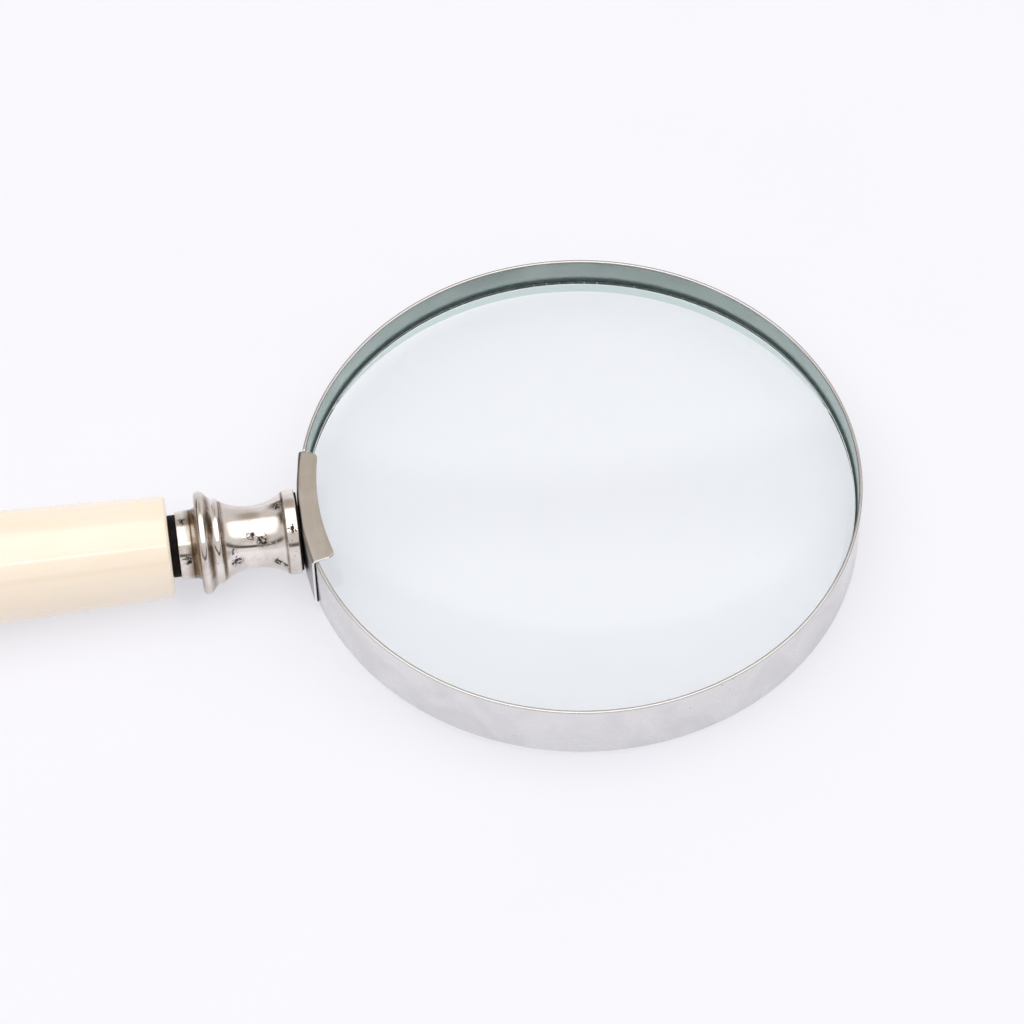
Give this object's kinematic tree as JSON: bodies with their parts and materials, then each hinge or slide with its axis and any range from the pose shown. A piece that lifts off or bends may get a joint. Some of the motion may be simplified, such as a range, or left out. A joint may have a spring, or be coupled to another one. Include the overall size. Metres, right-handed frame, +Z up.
{
  "type": "magnifying glass",
  "caption": "Hand magnifying glass: a large round lens in a thin flat steel hoop, a folded clip, a turned plated neck and a tapered cream handle with a domed end.",
  "frame": {"origin": "centre of the overall box, on the table that the object lies on", "axes": "+X along the object from the handle's end to the hoop, +Z up; the lens and the handle's axis lean 1.54 degrees, because the object lies on the hoop's far edge and the handle's fattest part"},
  "size_m": [0.2411, 0.102, 0.0237],
  "materials": {
    "lens_glass": "polished",
    "packing": "matt",
    "hoop_steel": "satin",
    "clip_steel": "satin",
    "screw_steel": "satin",
    "washer_black": "matt",
    "neck_plate": "polished, with small pits",
    "rod_steel": "machined",
    "bush_brass": "machined",
    "grip_cream": "polished"
  },
  "bodies": {
    "hoop": {"lens": "lens_glass", "lens_packing": "packing", "hoop_band": "hoop_steel", "saddle_clip": "clip_steel", "hoop_screw": "screw_steel"},
    "hoop_washer": {"neck_washer": "washer_black"},
    "neck": {"neck": "neck_plate", "handle_rod": "rod_steel"},
    "handle_washer": {"spacer_washer": "washer_black"},
    "handle": {"handle_bush": "bush_brass", "handle_grip": "grip_cream"}
  },
  "joints": [
    {"name": "neck_slide", "type": "slide", "parent": "hoop", "child": "hoop_washer", "axis": [-0.9997, 0, 0.0261], "range_m": [0, 0.0085]},
    {"name": "neck_turn", "type": "hinge", "parent": "hoop_washer", "child": "neck", "pos_m": [0.06935, 0, 0.00758], "axis": [-0.9997, 0, 0.0261], "range_deg": [0, 4320]},
    {"name": "handle_slide", "type": "slide", "parent": "neck", "child": "handle_washer", "axis": [-0.9997, 0, 0.0261], "range_m": [0, 0.0121]},
    {"name": "handle_turn", "type": "hinge", "parent": "handle_washer", "child": "handle", "pos_m": [0.06935, 0, 0.00758], "axis": [-0.9997, 0, 0.0261], "range_deg": [0, 4320]}
  ],
  "couplings": [
    {"joint": "neck_slide", "follows": "neck_turn", "m_per_rad": 0.00011141},
    {"joint": "handle_slide", "follows": "handle_turn", "m_per_rad": 0.00015915}
  ]
}
